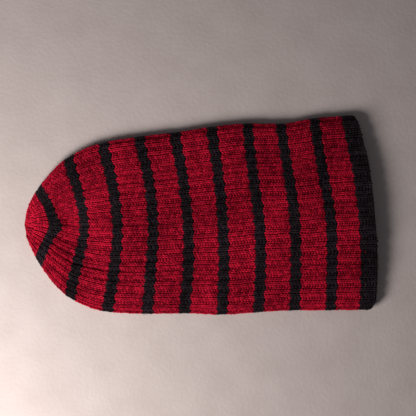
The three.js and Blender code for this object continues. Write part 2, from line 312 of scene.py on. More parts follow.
def reach_across(section, across):
    """How far a course lies from the tip, at a place from 1 at the far fold to -1 at the near fold."""
    places = np.stack([section[name] for name in SECTION_COLUMNS[1:6]], axis=-1) * CAP_LENGTH
    walk = np.clip((1 - across) / 2, 0, 1) * (places.shape[-1] - 1)
    first = np.clip(np.floor(walk).astype(int), 0, places.shape[-1] - 2)
    t = walk - first

    def pick(shift):
        at = np.clip(first + shift, 0, places.shape[-1] - 1)
        return np.take_along_axis(places, at[..., None], axis=-1)[..., 0]

    start, end = pick(0), pick(1)
    slope_start, slope_end = (end - pick(-1)) / 2, (pick(2) - start) / 2
    cubic = (2 * start - 2 * end + slope_start + slope_end) * t**3
    square = (-3 * start + 3 * end - 2 * slope_start - slope_end) * t**2
    return cubic + square + slope_start * t + start


def girth_of(section):
    """Half width, half height, fold radius, half of the flat stretch and girth of a section."""
    half_width = (section["far_side"] - section["near_side"]) / 2 * CAP_WIDTH
    half_height = (section["over"] - section["under"]) / 2 * FOLD_HEIGHT
    fold_radius = np.maximum(np.minimum(half_height, half_width), TINY)
    straight = np.maximum(half_width - fold_radius, 0)
    return half_width, half_height, fold_radius, straight, 4 * (straight + math.pi / 2 * fold_radius)


def fullness(course):
    """The girth at a course, as a share of the girth at the mouth."""
    return girth_of(section_at(course))[-1] / girth_of(section_at(np.zeros_like(course)))[-1]


def nearness(x, y, start, beside, long, wide):
    """How near a point is to a place on the cap, from 1 there to 0 far away."""
    return np.exp(-(((x / CAP_LENGTH - start) / long) ** 2) - ((y / CAP_WIDTH - beside) / wide) ** 2)


def folded_point(course, turn):
    """A point of the surface that the crests touch, from the crown's tip and the middle of the cap."""
    section = section_at(course)
    half_width, half_height, fold_radius, straight, girth = girth_of(section)
    wrapped = turn - np.floor(turn)
    is_upper = wrapped < 0.5
    walked = np.where(is_upper, wrapped, 1 - wrapped) * girth
    quarter = math.pi / 2 * fold_radius
    on_far_fold = walked < quarter
    on_near_fold = walked > quarter + 2 * straight
    far_angle = walked / fold_radius
    near_angle = (walked - quarter - 2 * straight) / fold_radius
    across = np.where(
        on_far_fold,
        straight + fold_radius * np.cos(far_angle),
        np.where(on_near_fold, -straight - fold_radius * np.sin(near_angle), straight + quarter - walked),
    )
    rise = np.where(on_far_fold, np.sin(far_angle), np.where(on_near_fold, np.cos(near_angle), 1))
    round_reach = np.maximum(np.minimum(FOLD_ROUND, FOLD_ROUND_SHARE * half_width), fold_radius)
    still_rising = np.clip(1 - (half_width - np.abs(across)) / round_reach, 0, 1)
    rise = np.where(is_upper, np.sqrt(1 - still_rising**2), rise)
    x = reach_across(section, across / np.maximum(half_width, TINY))
    y = (section["far_side"] + section["near_side"]) / 2 * CAP_WIDTH + across
    layer = np.where(is_upper, 1, -1)
    z = (section["over"] + section["under"]) / 2 * FOLD_HEIGHT + layer * rise * half_height
    from_fold = (1 - np.clip(np.abs(across) / np.maximum(straight, TINY), 0, 1) ** 2) ** 2
    spring = MOUTH_LIFT * np.clip(1 - course / SPRING_COURSES, 0, 1) ** 2
    dents = sum(depth * FOLD_HEIGHT * nearness(x, y, *place) for *place, depth in DENTS)
    lift = from_fold * (section["swell"] * SWELL + spring) - np.minimum(1, 2 * from_fold) * dents
    z = z + np.where(is_upper & (straight > LEAST_FLAT), lift, 0)
    *place, share = GATHER
    pull = np.minimum(1, 2 * from_fold) * nearness(x, y, *place) * share * CAP_LENGTH
    return np.stack([x + np.where(is_upper, pull, 0), y, z], axis=-1)


def frame_shift():
    """From the form's own origin to the frame's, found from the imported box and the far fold."""
    steps = 400
    course = np.linspace(0, COURSES, steps)
    furthest = folded_point(course, np.zeros_like(course))[:, 1].max()
    return np.array([CAD_LOW[0], CAD_HIGH[1] - furthest, 0])


SHIFT = frame_shift()


def crest_point(course, turn):
    """A point of the crest surface in the frame, which runs on straight past the mouth."""
    inside = np.maximum(course, 0)
    step = 0.5
    mouth, beside_it = (folded_point(np.full_like(inside, at), turn) for at in (0, step))
    beyond = np.minimum(course, 0)[..., None] * ((beside_it - mouth) / step)
    # The mouth's two corners are drawn in
    from_fold = np.abs(turn * 2 - np.round(turn * 2)) / 2
    pull = np.clip(1 - from_fold / CORNER_TURNS, 0, 1) ** 2
    pull = pull * np.clip(1 - inside / CORNER_COURSES, 0, 1) ** 2
    side = np.where(np.abs(turn - 0.5) < 0.25, -1, CORNER_FAR_SHARE)
    inward = np.stack([np.abs(side) * CORNER_PULL, side * CORNER_TUCK, 0 * side], axis=-1)
    return folded_point(inside, turn) - pull[..., None] * inward + beyond + SHIFT


def unit(vectors):
    least_length = 1e-12
    return vectors / np.maximum(np.linalg.norm(vectors, axis=-1, keepdims=True), least_length)


def crest_normal(course, turn):
    """The outward normal of the crest surface."""
    step, swing = 0.05, 0.002
    middle = np.clip(course, -SURFACE_MARGIN, COURSES - 2 * step)
    along = crest_point(middle + step, turn) - crest_point(middle - step, turn)
    round_cap = crest_point(middle, turn + swing) - crest_point(middle, turn - swing)
    return unit(np.cross(along, round_cap))


def rib_phase(column, per_rib, knits):
    """Where in its rib a column lies, from -0.5 to 1. Knit stitches share the crest, purls the valley."""
    within = np.mod(column, per_rib)
    if knits == per_rib:
        return within / per_rib - 0.5
    on_crest = -CREST_SHARE / 2 + within / knits * CREST_SHARE
    in_valley = CREST_SHARE / 2 + (within - knits) / (per_rib - knits) * (1 - CREST_SHARE)
    return np.where(within < knits, on_crest, in_valley)


def relief(phase):
    """How far the rib has gone down at a phase, from 0 at its middle to 1 in the valley."""
    away = np.abs(phase - np.round(phase)) * 2
    t = np.clip((away - CREST_FLAT) / (1 - CREST_FLAT), 0, 1)
    return t * t * (3 - 2 * t)


def slow_wave(row, valley, course, shift=0):
    """A wave that runs from valley to valley and from course to course."""
    height, each_valley, each_course = row
    return height * np.sin(2 * math.pi * (each_valley * valley + each_course * course + shift))


def valley_share(course, turn):
    """How deep a valley is at a place, in shares of the whole sink of a valley."""
    valley = np.mod(np.floor(turn * RIBS), RIBS)
    share = VALLEY_MEAN + slow_wave(VALLEY_WAVE, valley, course, slow_wave(VALLEY_DRIFT, valley, course))
    across_crown = np.exp(-(((turn - CROWN_MIDDLE) / CROWN_REACH) ** 2))
    crown = np.clip((course - COURSES + CROWN_COURSES) / CROWN_RISE, 0, 1) * across_crown
    return share * (1 - NEAR_FOLD_DEPTH * np.cos(2 * math.pi * turn)) * (1 + CROWN_DEPTH * crown)


def rib_sway(turns):
    """Turns moved a little, because some ribs are pulled wider than others."""
    sway = sum(share * np.sin(2 * math.pi * (waves * turns + start)) for share, waves, start in RIB_SWAY)
    return turns + sway / RIBS


def ribbed_grid(courses, turns, sink, depth, most):
    """Points of the ribbed wall, sunk below the crests and more in the valleys."""
    course, turn = np.meshgrid(courses, turns, indexing="ij")
    inside = np.clip(course, 0, COURSES)
    valley = relief(turn * RIBS)
    wanted = sink + depth * valley * fullness(inside) * valley_share(inside, turn)
    down = np.minimum(wanted, most * girth_of(section_at(inside))[2])
    scallop = np.clip(inside / SCALLOP_RISE, 0, 1) * np.clip((COURSES - inside) / SCALLOP_FADE, 0, 1)
    dipped = course - SCALLOP * valley * scallop
    swayed = rib_sway(turn)
    return crest_point(dipped, swayed) - crest_normal(dipped, swayed) * down[..., None]


def grid_faces(rows, columns):
    """Quads over a grid of points that is rows by columns and open on every side."""
    index = np.arange(rows * columns).reshape(rows, columns)
    corners = [index[:-1, :-1], index[1:, :-1], index[1:, 1:], index[:-1, 1:]]
    return np.stack(corners, axis=-1).reshape(-1, 4)


def link_object(name, data, place=(0, 0, 0)):
    """An object for a mesh, a lamp or a camera, at its place in the scene."""
    item = bpy.data.objects.new(name, data)
    item.location = place
    bpy.context.scene.collection.objects.link(item)
    return item


def mesh_object(name, points, faces, uvs=None):
    """A mesh object from points, faces and, where given, one UV for each point."""
    mesh = bpy.data.meshes.new(name)
    corners = [tuple(int(i) for i in face) for face in faces]
    mesh.from_pydata(np.asarray(points).reshape(-1, 3).tolist(), [], corners)
    mesh.polygons.foreach_set("use_smooth", np.ones(len(mesh.polygons), bool))
    if uvs is not None:
        corner = np.zeros(len(mesh.loops), int)
        mesh.loops.foreach_get("vertex_index", corner)
        layer = mesh.uv_layers.new(name="UVMap")
        layer.uv.foreach_set("vector", np.asarray(uvs, float).reshape(-1, 2)[corner].ravel())
    return link_object(name, mesh)


def column_turns(spread, zone):
    """The turns at columns of a zone, counted from its first column."""
    if zone["ribs"] < RIBS:
        return spread / zone["ribs"]
    phase = rib_phase(spread, zone["per_rib"], zone["knits"])
    return (np.floor_divide(spread, zone["per_rib"]) + phase) / RIBS


def marked(count, each):
    """The places of a guide's points along its columns or courses, with the margin on either side."""
    return np.arange(-SURFACE_MARGIN * each, (count + SURFACE_MARGIN) * each + 1) / each


def guide_surface(name, zone, face):
    """The surface that a zone's yarn runs in, whose UV map is the flat pattern with its margin."""
    columns = zone["ribs"] * zone["per_rib"]
    spread = marked(columns, GUIDE_EACH_COLUMN)
    rise = marked(zone["courses"], GUIDE_EACH_COURSE)
    courses = zone["start"] + rise * (zone["end"] - zone["start"]) / zone["courses"]
    turns = column_turns(spread, zone)
    sink = YARN_SINK if face == "outside" else YARN_SINK + LINING_SINK
    points = ribbed_grid(courses, turns, sink, VALLEY_SINK, YARN_MOST_SINK)
    out = unit(np.cross(np.gradient(points, axis=0), np.gradient(points, axis=1)))
    smooth = crest_normal(*np.meshgrid(courses, rib_sway(turns), indexing="ij"))
    out = np.where((np.sum(out * smooth, axis=-1) > LEAST_AGREEMENT)[..., None], out, smooth)
    if face == "inside":
        out = -out
    across, along = np.meshgrid(
        (spread + SURFACE_MARGIN) / (columns + 2 * SURFACE_MARGIN),
        (rise + SURFACE_MARGIN) / (zone["courses"] + 2 * SURFACE_MARGIN),
    )
    uvs = np.stack([across, along], axis=-1)
    guide = mesh_object(name, points, grid_faces(len(rise), len(spread)), uvs)
    attribute = guide.data.attributes.new("out", "FLOAT_VECTOR", "POINT")
    attribute.data.foreach_set("vector", out.astype(np.float32).ravel())
    return guide


def backing(name, start, end, is_lined):
    """The closed ribbed wall behind a band's stitches, whose UV map counts stitches and courses."""
    is_tip = end == COURSES
    steps = max(2, round((end - start) * BACKING_EACH_COURSE))
    rise = (end - start) * np.arange(steps + 1) / steps
    turns = np.arange(RIBS * BACKING_EACH_RIB) / (RIBS * BACKING_EACH_RIB)
    sink = YARN_SINK + BACKING_SINK
    outer_rise = rise * (OUTER_TIP if is_tip else 1)
    outer = ribbed_grid(start + outer_rise, turns, sink, VALLEY_SINK, BACKING_MOST_SINK)
    if is_lined:
        inner = ribbed_grid(start + rise, turns, sink + LINED_THICKNESS, VALLEY_SINK, LINED_MOST_SINK)
    else:
        inner_rise = rise * (INNER_TIP if is_tip else 1)
        inner = ribbed_grid(start + inner_rise, turns, KNIT_THICKNESS, INNER_VALLEY_SINK, INNER_MOST_SINK)
    rows, count = outer.shape[:2]
    index = np.arange(rows * count).reshape(rows, count)
    following = np.roll(index, -1, axis=1)
    quads = np.stack([index[:-1], index[1:], following[1:], following[:-1]], axis=-1).reshape(-1, 4)
    shift = rows * count
    faces = [*quads, *(quads[:, ::-1] + shift)]
    faces += [*np.stack([index[0], following[0], following[0] + shift, index[0] + shift], axis=-1)]
    points = np.concatenate([outer.reshape(-1, 3), inner.reshape(-1, 3)])
    across, along = np.meshgrid(turns * RIBS * STITCHES_EACH_RIB, start + rise)
    flat = np.stack([across, along], axis=-1).reshape(-1, 2)
    uvs = np.concatenate([flat, flat])
    if is_tip:
        points = np.concatenate([points, [outer[-1].mean(axis=0), inner[-1].mean(axis=0)]])
        uvs = np.concatenate([uvs, [[0, COURSES], [0, COURSES]]])
        faces += [(a, 2 * shift, b) for a, b in zip(index[-1], following[-1])]
        faces += [(b + shift, 2 * shift + 1, a + shift) for a, b in zip(index[-1], following[-1])]
    else:
        faces += [*np.stack([index[-1] + shift, following[-1] + shift, following[-1], index[-1]], axis=-1)]
    return mesh_object(name, points, faces, uvs)


def strand(rows, angles=YARN_ANGLES, sideways=None):
    """A closed spindle of yarn along the rows of a stitch, whose sections have a corner at each angle."""
    stations, widths, heights = rows[:, :3], rows[:, 3], rows[:, 4]
    angles = np.radians(angles)
    heading = unit(np.gradient(stations, axis=0))
    if sideways is None:
        sideways = unit(np.stack([heading[:, 1], -heading[:, 0], np.zeros(len(heading))], axis=-1))
    else:
        sideways = np.broadcast_to(np.asarray(sideways, float), stations.shape)
    lift = unit(np.cross(sideways, heading))
    last = len(stations) - 1
    points = [stations[0]]
    uvs = [(0, 0)]
    for i in range(1, last):
        for k, angle in enumerate(angles):
            beside = sideways[i] * math.cos(angle) * widths[i]
            points.append(stations[i] + beside + lift[i] * math.sin(angle) * heights[i])
            uvs.append((i / last, k / len(angles)))
    points.append(stations[last])
    uvs.append((1, 0))
    count = len(angles)
    end = len(points) - 1
    faces = []
    for k in range(count):
        following = (k + 1) % count
        faces.append((0, 1 + following, 1 + k))
        for a in range(1, end - count, count):
            faces.append((a + k, a + following, a + count + following, a + count + k))
        faces.append((end - count + k, end - count + following, end))
    return np.array(points), faces, np.array(uvs, float)


def joined(parts):
    """The points, faces and UVs of several meshes as those of one."""
    faces, shift = [], 0
    for points, part_faces, _ in parts:
        faces += [tuple(i + shift for i in face) for face in part_faces]
        shift += len(points)
    return np.concatenate([part[0] for part in parts]), faces, np.concatenate([part[2] for part in parts])


def stitch_object(name, strands):
    """A stitch made of strands, in pattern units: columns across, courses along and metres up."""
    points, faces, uvs = joined(strands)
    return mesh_object(name, points * [MM / STITCH_SPAN, MM / COURSE_SPAN, MM], faces, uvs)


def stitch_objects():
    """The knit stitch, the purl stitch, a loop of the rim and a loose fibre, by their names."""
    # The V of a knit stitch has its point towards the mouth
    legs = [strand(np.array(KNIT_LEG) * [side, 1, 1, 1, 1]) for side in (1, -1)]
    return {
        "knit": stitch_object("knit_stitch", legs),
        "purl": stitch_object("purl_stitch", [strand(np.array(PURL_BUMP))]),
        "loop": stitch_object("rim_loop", [strand(np.array(RIM_LOOP), sideways=(1, 0, 0))]),
        "fibre": stitch_object("loose_fibre", [strand(np.array(LOOSE_FIBRE), FIBRE_ANGLES)]),
    }


def add_node(tree, kind, inputs=(), **settings):
    """A node with its settings, whose inputs, by name or place, are sockets or plain values."""
    node = tree.nodes.new(kind)
    for name, value in settings.items():
        setattr(node, name, value)
    for place, value in dict(inputs).items():
        if isinstance(value, bpy.types.NodeSocket):
            tree.links.new(value, node.inputs[place])
        else:
            node.inputs[place].default_value = value
    return node


def math_node(tree, operation, *inputs):
    """The output of a math node."""
    return add_node(tree, "ShaderNodeMath", enumerate(inputs), operation=operation).outputs[0]


def random_node(tree, data_type, low, high, seed, shift):
    """A random value for each element, whose seed is the tree's seed plus a shift."""
    low_place, high_place, output = {"FLOAT": (2, 3, 1), "FLOAT_VECTOR": (0, 1, 0)}[data_type]
    shifted = add_node(tree, "FunctionNodeIntegerMath", {0: seed, 1: shift}, operation="ADD").outputs[0]
    inputs = {low_place: low, high_place: high, "Seed": shifted}
    return add_node(tree, "FunctionNodeRandomValue", inputs, data_type=data_type).outputs[output]


def combine(tree, *parts):
    """A vector made of three sockets or numbers."""
    return add_node(tree, "ShaderNodeCombineXYZ", enumerate(parts)).outputs[0]


def separate(tree, vector):
    """The three parts of a vector, by the names X, Y and Z."""
    return add_node(tree, "ShaderNodeSeparateXYZ", {0: vector}).outputs


def position(tree):
    return add_node(tree, "GeometryNodeInputPosition").outputs[0]


def object_geometry(tree, socket):
    return add_node(tree, "GeometryNodeObjectInfo", {"Object": socket}).outputs["Geometry"]


def noise_at(tree, vector, scale, detail, output="Fac"):
    """A noise texture's value at a place."""
    inputs = {"Scale": scale, "Detail": detail, "Vector": vector}
    return add_node(tree, "ShaderNodeTexNoise", inputs).outputs[output]


TREE_INPUTS = (
    ("Columns", "Int", "Stitches round the cap"),
    ("Courses", "Int", "Courses along the cap"),
    ("Columns in a Rib", "Int", "Stitches across one rib and one valley"),
    ("Knits in a Rib", "Int", "Knit stitches across one rib"),
    ("Knit Stitch", "Object", "The knit stitch, in pattern units"),
    ("Purl Stitch", "Object", "The purl stitch, in pattern units"),
    ("Guide", "Object", "The surface that the yarn runs in"),
    ("Fibre", "Object", "A loose fibre, in pattern units"),
    ("Fibres", "Int", "Loose fibres in all"),
    ("Unevenness", "Float", "How unlike each other the stitches are"),
    ("Mirrored", "Bool", "Whether the pattern is seen from behind on the guide"),
    ("Seed", "Int", "Start of the random numbers"),
    ("Material", "Material", "The yarn's material"),
)


def stitch_tree():
    """The node tree that knits a band: stitches in rows on a flat pattern, laid on the guide surface."""
    tree = bpy.data.node_groups.new("Knitted Band", "GeometryNodeTree")
    tree.interface.new_socket("Geometry", in_out="INPUT", socket_type="NodeSocketGeometry")
    for name, kind, description in TREE_INPUTS:
        tree.interface.new_socket(
            name, in_out="INPUT", socket_type="NodeSocket" + kind, description=description,
        )
    tree.interface.new_socket("Geometry", in_out="OUTPUT", socket_type="NodeSocketGeometry")
    given = tree.nodes.new("NodeGroupInput").outputs
    seed, columns, courses, uneven = (given[name] for name in ("Seed", "Columns", "Courses", "Unevenness"))
    maths = partial(math_node, tree)

    def geometry(kind, inputs, **settings):
        return add_node(tree, "GeometryNode" + kind, inputs, **settings).outputs[0]

    def join(*parts):
        node = tree.nodes.new("GeometryNodeJoinGeometry")
        for part in parts:
            tree.links.new(part, node.inputs[0])
        return node.outputs[0]

    def about(middle, most, shift):
        """A random value for each stitch, further from the middle the more uneven the knitting is."""
        away = maths("MULTIPLY", uneven, most)
        low, high = (maths(operation, middle, away) for operation in ("SUBTRACT", "ADD"))
        return random_node(tree, "FLOAT", low, high, seed, shift)

    # One point in the middle of each stitch of the flat pattern
    size = {"Size X": maths("SUBTRACT", columns, 1), "Size Y": maths("SUBTRACT", courses, 1)}
    grid = geometry("MeshGrid", {**size, "Vertices X": columns, "Vertices Y": courses})
    middle = combine(tree, maths("MULTIPLY", columns, 0.5), maths("MULTIPLY", courses, 0.5), 0)
    placed = geometry("SetPosition", {"Geometry": grid, "Offset": middle})

    # The first columns of each rib are knit and the others purl
    within = maths("FLOORED_MODULO", separate(tree, position(tree))["X"], given["Columns in a Rib"])
    is_knit = maths("LESS_THAN", within, given["Knits in a Rib"])
    is_purl = maths("SUBTRACT", 1, is_knit)

    # Every stitch is a little larger or smaller and turned a little
    turned = combine(tree, 0, 0, about(0, STITCH_TURN, 1))
    grown = about(1, STITCH_GROWTH, 2)
    stitch_place = {
        "Points": placed,
        "Rotation": turned,
        "Scale": combine(tree, grown, grown, about(1, STITCH_TALLNESS, 3)),
    }
    knits, purls = (
        geometry(
            "InstanceOnPoints",
            {**stitch_place, "Instance": object_geometry(tree, given[name]), "Selection": selection},
        )
        for name, selection in (("Knit Stitch", is_knit), ("Purl Stitch", is_purl))
    )

    # Loose fibres lie anywhere in the pattern, at any angle
    fibre_place = random_node(tree, "FLOAT_VECTOR", (0, 0, 0), combine(tree, columns, courses, 0), seed, 4)
    fibres = geometry("InstanceOnPoints", {
        "Points": geometry("Points", {"Count": given["Fibres"], "Position": fibre_place}),
        "Instance": object_geometry(tree, given["Fibre"]),
        "Rotation": combine(tree, 0, 0, random_node(tree, "FLOAT", 0.0, 2 * math.pi, seed, 5)),
        "Scale": random_node(tree, "FLOAT_VECTOR", LEAST_FIBRE, LARGEST_FIBRE, seed, 6),
    })

    # Each stitch keeps a tone of its own, which the wool's colour reads, and the purls, down in the valleys,
    # are darker as painted shade
    any_tone = random_node(tree, "FLOAT", 0.0, 1.0, seed, 7)
    tone = maths("SUBTRACT", any_tone, maths("MULTIPLY", is_purl, PURL_PAINTED_SHADE))
    stored = {"Geometry": join(knits, purls, fibres), "Name": "stitch_tone", "Value": tone}
    toned = geometry("StoreNamedAttribute", stored, domain="INSTANCE")
    realized = geometry("RealizeInstances", {0: toned})

    # The pattern wavers a little, as hand knitting does, and is then laid on the guide
    flat = position(tree)
    pattern = separate(tree, flat)
    shifted = add_node(tree, "ShaderNodeVectorMath", {0: flat, 1: combine(tree, seed, 0, 0)})
    noise = noise_at(tree, shifted.outputs[0], WAVER_SCALE, WAVER_DETAIL, "Color")
    spread = add_node(tree, "FunctionNodeSeparateColor", {0: noise}).outputs
    uv = []
    axes = (("X", columns, "Red", WAVER_ACROSS), ("Y", courses, "Green", WAVER_ALONG))
    for axis, count, channel, most in axes:
        waver = maths("MULTIPLY", maths("SUBTRACT", spread[channel], 0.5), most)
        moved = maths("ADD", pattern[axis], maths("MULTIPLY", waver, uneven))
        whole = maths("ADD", count, 2 * SURFACE_MARGIN)
        uv.append(maths("DIVIDE", maths("ADD", moved, SURFACE_MARGIN), whole))
    guide = object_geometry(tree, given["Guide"])
    uv_map, out = (
        geometry("InputNamedAttribute", {"Name": name}, data_type="FLOAT_VECTOR")
        for name in ("UVMap", "out")
    )
    sample = {"Mesh": guide, "UV Map": uv_map, "Sample UV": combine(tree, uv[0], uv[1], 0)}
    place_there, out_there = (
        geometry("SampleUVSurface", {**sample, "Value": value}, data_type="FLOAT_VECTOR")
        for value in (position(tree), out)
    )
    height = combine(tree, pattern["Z"], pattern["Z"], pattern["Z"])
    raised = {0: out_there, 1: height, 2: place_there}
    there = add_node(tree, "ShaderNodeVectorMath", raised, operation="MULTIPLY_ADD")
    laid = geometry("SetPosition", {"Geometry": realized, "Position": there.outputs[0]})
    flipped = geometry("FlipFaces", {"Mesh": laid, "Selection": given["Mirrored"]})

    # The backing comes in with no stitch tone, which reads 0, so its wool is darker: painted shade in the
    # gaps between the stitches
    solid = geometry("RealizeInstances", {0: join(given["Geometry"], flipped)})
    smooth = geometry("SetShadeSmooth", {0: solid})
    finish = geometry("SetMaterial", {"Geometry": smooth, "Material": given["Material"]})
    tree.links.new(finish, tree.nodes.new("NodeGroupOutput").inputs[0])
    return tree


def set_inputs(modifier, values):
    """Sets a modifier's inputs by the names that its tree gives them."""
    sockets = modifier.node_group.interface.items_tree
    names = {item.name: item.identifier for item in sockets if item.in_out == "INPUT"}
    for name, value in values.items():
        modifier[names[name]] = value


def bake(piece):
    """Turns a piece with modifiers into a plain mesh."""
    graph = bpy.context.evaluated_depsgraph_get()
    finished = piece.evaluated_get(graph)
    mesh = bpy.data.meshes.new_from_object(finished, preserve_all_data_layers=True, depsgraph=graph)
    piece.modifiers.clear()
    piece.data = mesh
    mesh.name = piece.name


def stripe_ends(number):
    """The courses at which a black stripe begins and ends, spread over the red bands beside it."""
    end = EDGE_COURSES + number * (RED_COURSES + BLACK_COURSES)
    return end - BLACK_COURSES - BLACK_SPREAD, end + BLACK_SPREAD


def zones_of(start, end, courses):
    """The zones of a band, in which the columns round the cap stay the same."""
    per_rib, knits = [row[1:] for row in CROWN_COLUMNS if row[0] <= start + 1][-1]
    zone = {"start": start, "end": end, "courses": courses}
    zone |= {"ribs": RIBS, "per_rib": per_rib, "knits": knits}
    if end < COURSES:
        return [zone]
    change = COURSES - LAST_COURSES
    last = {**zone, "start": change, "courses": LAST_COURSES, "ribs": RIBS // 2}
    return [{**zone, "end": change, "courses": courses - LAST_COURSES}, last]


def knit_band(node, start, end, courses, slot, is_lined=False, is_edge=False):
    """Knits the visual piece of one band of the cap."""
    settings = bpy.context.scene.nightcap
    tree = bpy.data.node_groups.get("Knitted Band") or stitch_tree()
    material = wool_material(slot)
    stitches = stitch_objects()
    zones = zones_of(start, end, courses)
    layers = [(zone, "outside", "knit", "purl") for zone in zones]
    if is_lined:
        layers += [(zone, "inside", "purl", "knit") for zone in zones]
    if is_edge:
        rim = {**zones[0], "start": RIM_START, "end": RIM_START + 1, "courses": 1}
        layers.append((rim, "outside", "loop", "loop"))
    piece = backing(node + "_knit", start, end, is_lined)
    helpers = [*stitches.values()]
    for order, (zone, face, on_rib, in_valley) in enumerate(layers):
        guide = guide_surface("guide_surface", zone, face)
        helpers.append(guide)
        columns = zone["ribs"] * zone["per_rib"]
        is_outside = face == "outside"
        modifier = piece.modifiers.new("Stitches", "NODES")
        modifier.node_group = tree
        set_inputs(modifier, {
            "Columns": columns,
            "Courses": zone["courses"],
            "Columns in a Rib": zone["per_rib"],
            "Knits in a Rib": zone["knits"],
            "Knit Stitch": stitches[on_rib],
            "Purl Stitch": stitches[in_valley],
            "Guide": guide,
            "Fibre": stitches["fibre"],
            "Fibres": round(columns * zone["courses"] * settings.fuzz) if is_outside else 0,
            "Unevenness": settings.unevenness,
            "Mirrored": is_outside,
            "Seed": settings.seed + round(start) * SEEDS_EACH_COURSE + order,
            "Material": material,
        })
    bake(piece)
    for item in helpers:
        bpy.data.objects.remove(item, do_unlink=True)
    piece.data.materials.clear()
    piece.data.materials.append(material)
    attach(piece, "root")
    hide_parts(node)


def shader_group(name, inputs, output, kind):
    """A shader group with its inputs and its one output. Returns it with the sockets inside."""
    tree = bpy.data.node_groups.new(name, "ShaderNodeTree")
    for input_name, input_kind, value in inputs:
        socket = tree.interface.new_socket(input_name, in_out="INPUT", socket_type=input_kind)
        socket.default_value = value
    tree.interface.new_socket(output, in_out="OUTPUT", socket_type=kind)
    given = tree.nodes.new("NodeGroupInput").outputs
    return tree, given, tree.nodes.new("NodeGroupOutput").inputs[output]


def mix_colours(tree, factor, first, second):
    """A colour between two, which are sockets or colours."""
    return add_node(tree, "ShaderNodeMix", {0: factor, 6: first, 7: second}, data_type="RGBA").outputs[2]


def bump_of(tree, height, distance, strength):
    """A normal that a height makes."""
    inputs = {"Height": height, "Distance": distance, "Strength": strength}
    return add_node(tree, "ShaderNodeBump", inputs).outputs[0]


def wool_colour_group():
    """The shader group for heathered wool: a colour that varies by stitch, by patch and by fibre."""
    grey = (0.5, 0.5, 0.5, 1)
    inputs = [(name, "NodeSocketColor", grey) for name in ("Dark", "Middle", "Bright")]
    inputs.append(("Variation", "NodeSocketFloat", 1))
    tree, given, result = shader_group("Heathered Wool", inputs, "Color", "NodeSocketColor")
    maths = partial(math_node, tree)
    place = add_node(tree, "ShaderNodeTexCoord").outputs["Object"]
    # The stitch tone carries painted shade as well as a random tone: purl stitches are darker, and the
    # backing, which has no tone and reads 0, is darkest
    tone = add_node(tree, "ShaderNodeAttribute", attribute_name="stitch_tone").outputs["Fac"]
    parts = [(tone, STITCH_VARIATION)]
    for scale, detail, share in (PATCH_VARIATION, FIBRE_VARIATION):
        parts.append((noise_at(tree, place, scale, detail), share))
    total = 0.5
    for value, share in parts:
        away = maths("MULTIPLY", maths("SUBTRACT", value, 0.5), share)
        total = maths("ADD", total, maths("MULTIPLY", away, given["Variation"]))
    lower = maths("MULTIPLY", total, 2)
    upper = maths("SUBTRACT", lower, 1)
    dark = mix_colours(tree, lower, given["Dark"], given["Middle"])
    tree.links.new(mix_colours(tree, upper, dark, given["Bright"]), result)
    return tree


def yarn_normal_group():
    """The shader group for spun yarn: a normal with the twist of its plies and its fibres."""
    inputs = [(name, "NodeSocketFloat", value) for name, value in YARN_TWIST]
    tree, given, result = shader_group("Spun Yarn", inputs, "Normal", "NodeSocketVector")
    maths = partial(math_node, tree)
    place = add_node(tree, "ShaderNodeTexCoord").outputs
    flat = separate(tree, place["UV"])
    along = maths("MULTIPLY", flat["X"], given["Twist"])
    around = maths("MULTIPLY", flat["Y"], given["Plies"])
    angle = maths("MULTIPLY", maths("ADD", along, around), 2 * math.pi)
    plies = maths("MULTIPLY", maths("SINE", angle), PLY_HEIGHT)
    height = maths("ADD", plies, noise_at(tree, place["Object"], *YARN_GRAIN))
    tree.links.new(bump_of(tree, height, YARN_BUMP, given["Depth"]), result)
    return tree


def add_group(tree, maker, name, inputs=()):
    """A group node, whose group is made when it is first used."""
    return add_node(tree, "ShaderNodeGroup", inputs, node_tree=bpy.data.node_groups.get(name) or maker())


def new_material(name, finish):
    """A material with values for its shader's finish. Returns it with the shader."""
    material = bpy.data.materials.new(name)
    material.use_nodes = True
    shader = next(node for node in material.node_tree.nodes if node.type == "BSDF_PRINCIPLED")
    for input_name, value in finish:
        shader.inputs[input_name].default_value = value
    return material, shader


def wool_material(slot):
    """The wool of a slot: heathered colour, twisted plies, fibres and a faint sheen."""
    name = "knitted_" + slot
    if name in bpy.data.materials:
        return bpy.data.materials[name]
    settings = bpy.context.scene.nightcap
    colour = np.array(settings.red if slot == "red_wool" else settings.black)

    def shade(level):
        return (*np.minimum(colour * level, MOST_COLOUR), 1)

    material, shader = new_material(name, [*WOOL_FINISH, ("Sheen Tint", shade(SHEEN_TINT))])
    tree = material.node_tree
    shades = {shade_name: shade(level) for shade_name, level in WOOL_SHADES}
    heather = add_group(tree, wool_colour_group, "Heathered Wool", shades)
    yarn = add_group(tree, yarn_normal_group, "Spun Yarn")
    tree.links.new(heather.outputs["Color"], shader.inputs["Base Color"])
    tree.links.new(yarn.outputs["Normal"], shader.inputs["Normal"])
    return material


def wool_specks():
    """Makes the two specks of red wool caught on the black yarn."""
    course, turn = np.meshgrid(np.linspace(*SEARCH_COURSES), np.linspace(*SEARCH_TURNS), indexing="ij")
    surface = crest_point(course, turn)
    along, up, width, height = np.array(SPECK_STRAND).T
    strands = []
    for x, y in SPECK_PLACES:
        near = np.argmin((surface[..., 0] - x) ** 2 + (surface[..., 1] - y) ** 2)
        middle = surface.reshape(-1, 3)[near]
        for angle in SPECK_ANGLES:
            rows = np.stack([along * math.cos(angle), along * math.sin(angle), up, width, height], axis=-1)
            points, faces, uvs = strand(rows)
            strands.append((points * MM + middle, faces, uvs))
    points, faces, _ = joined(strands)
    piece = mesh_object("red_specks", points, faces)
    piece.data.materials.append(wool_material("red_wool"))
    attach(piece, "root")


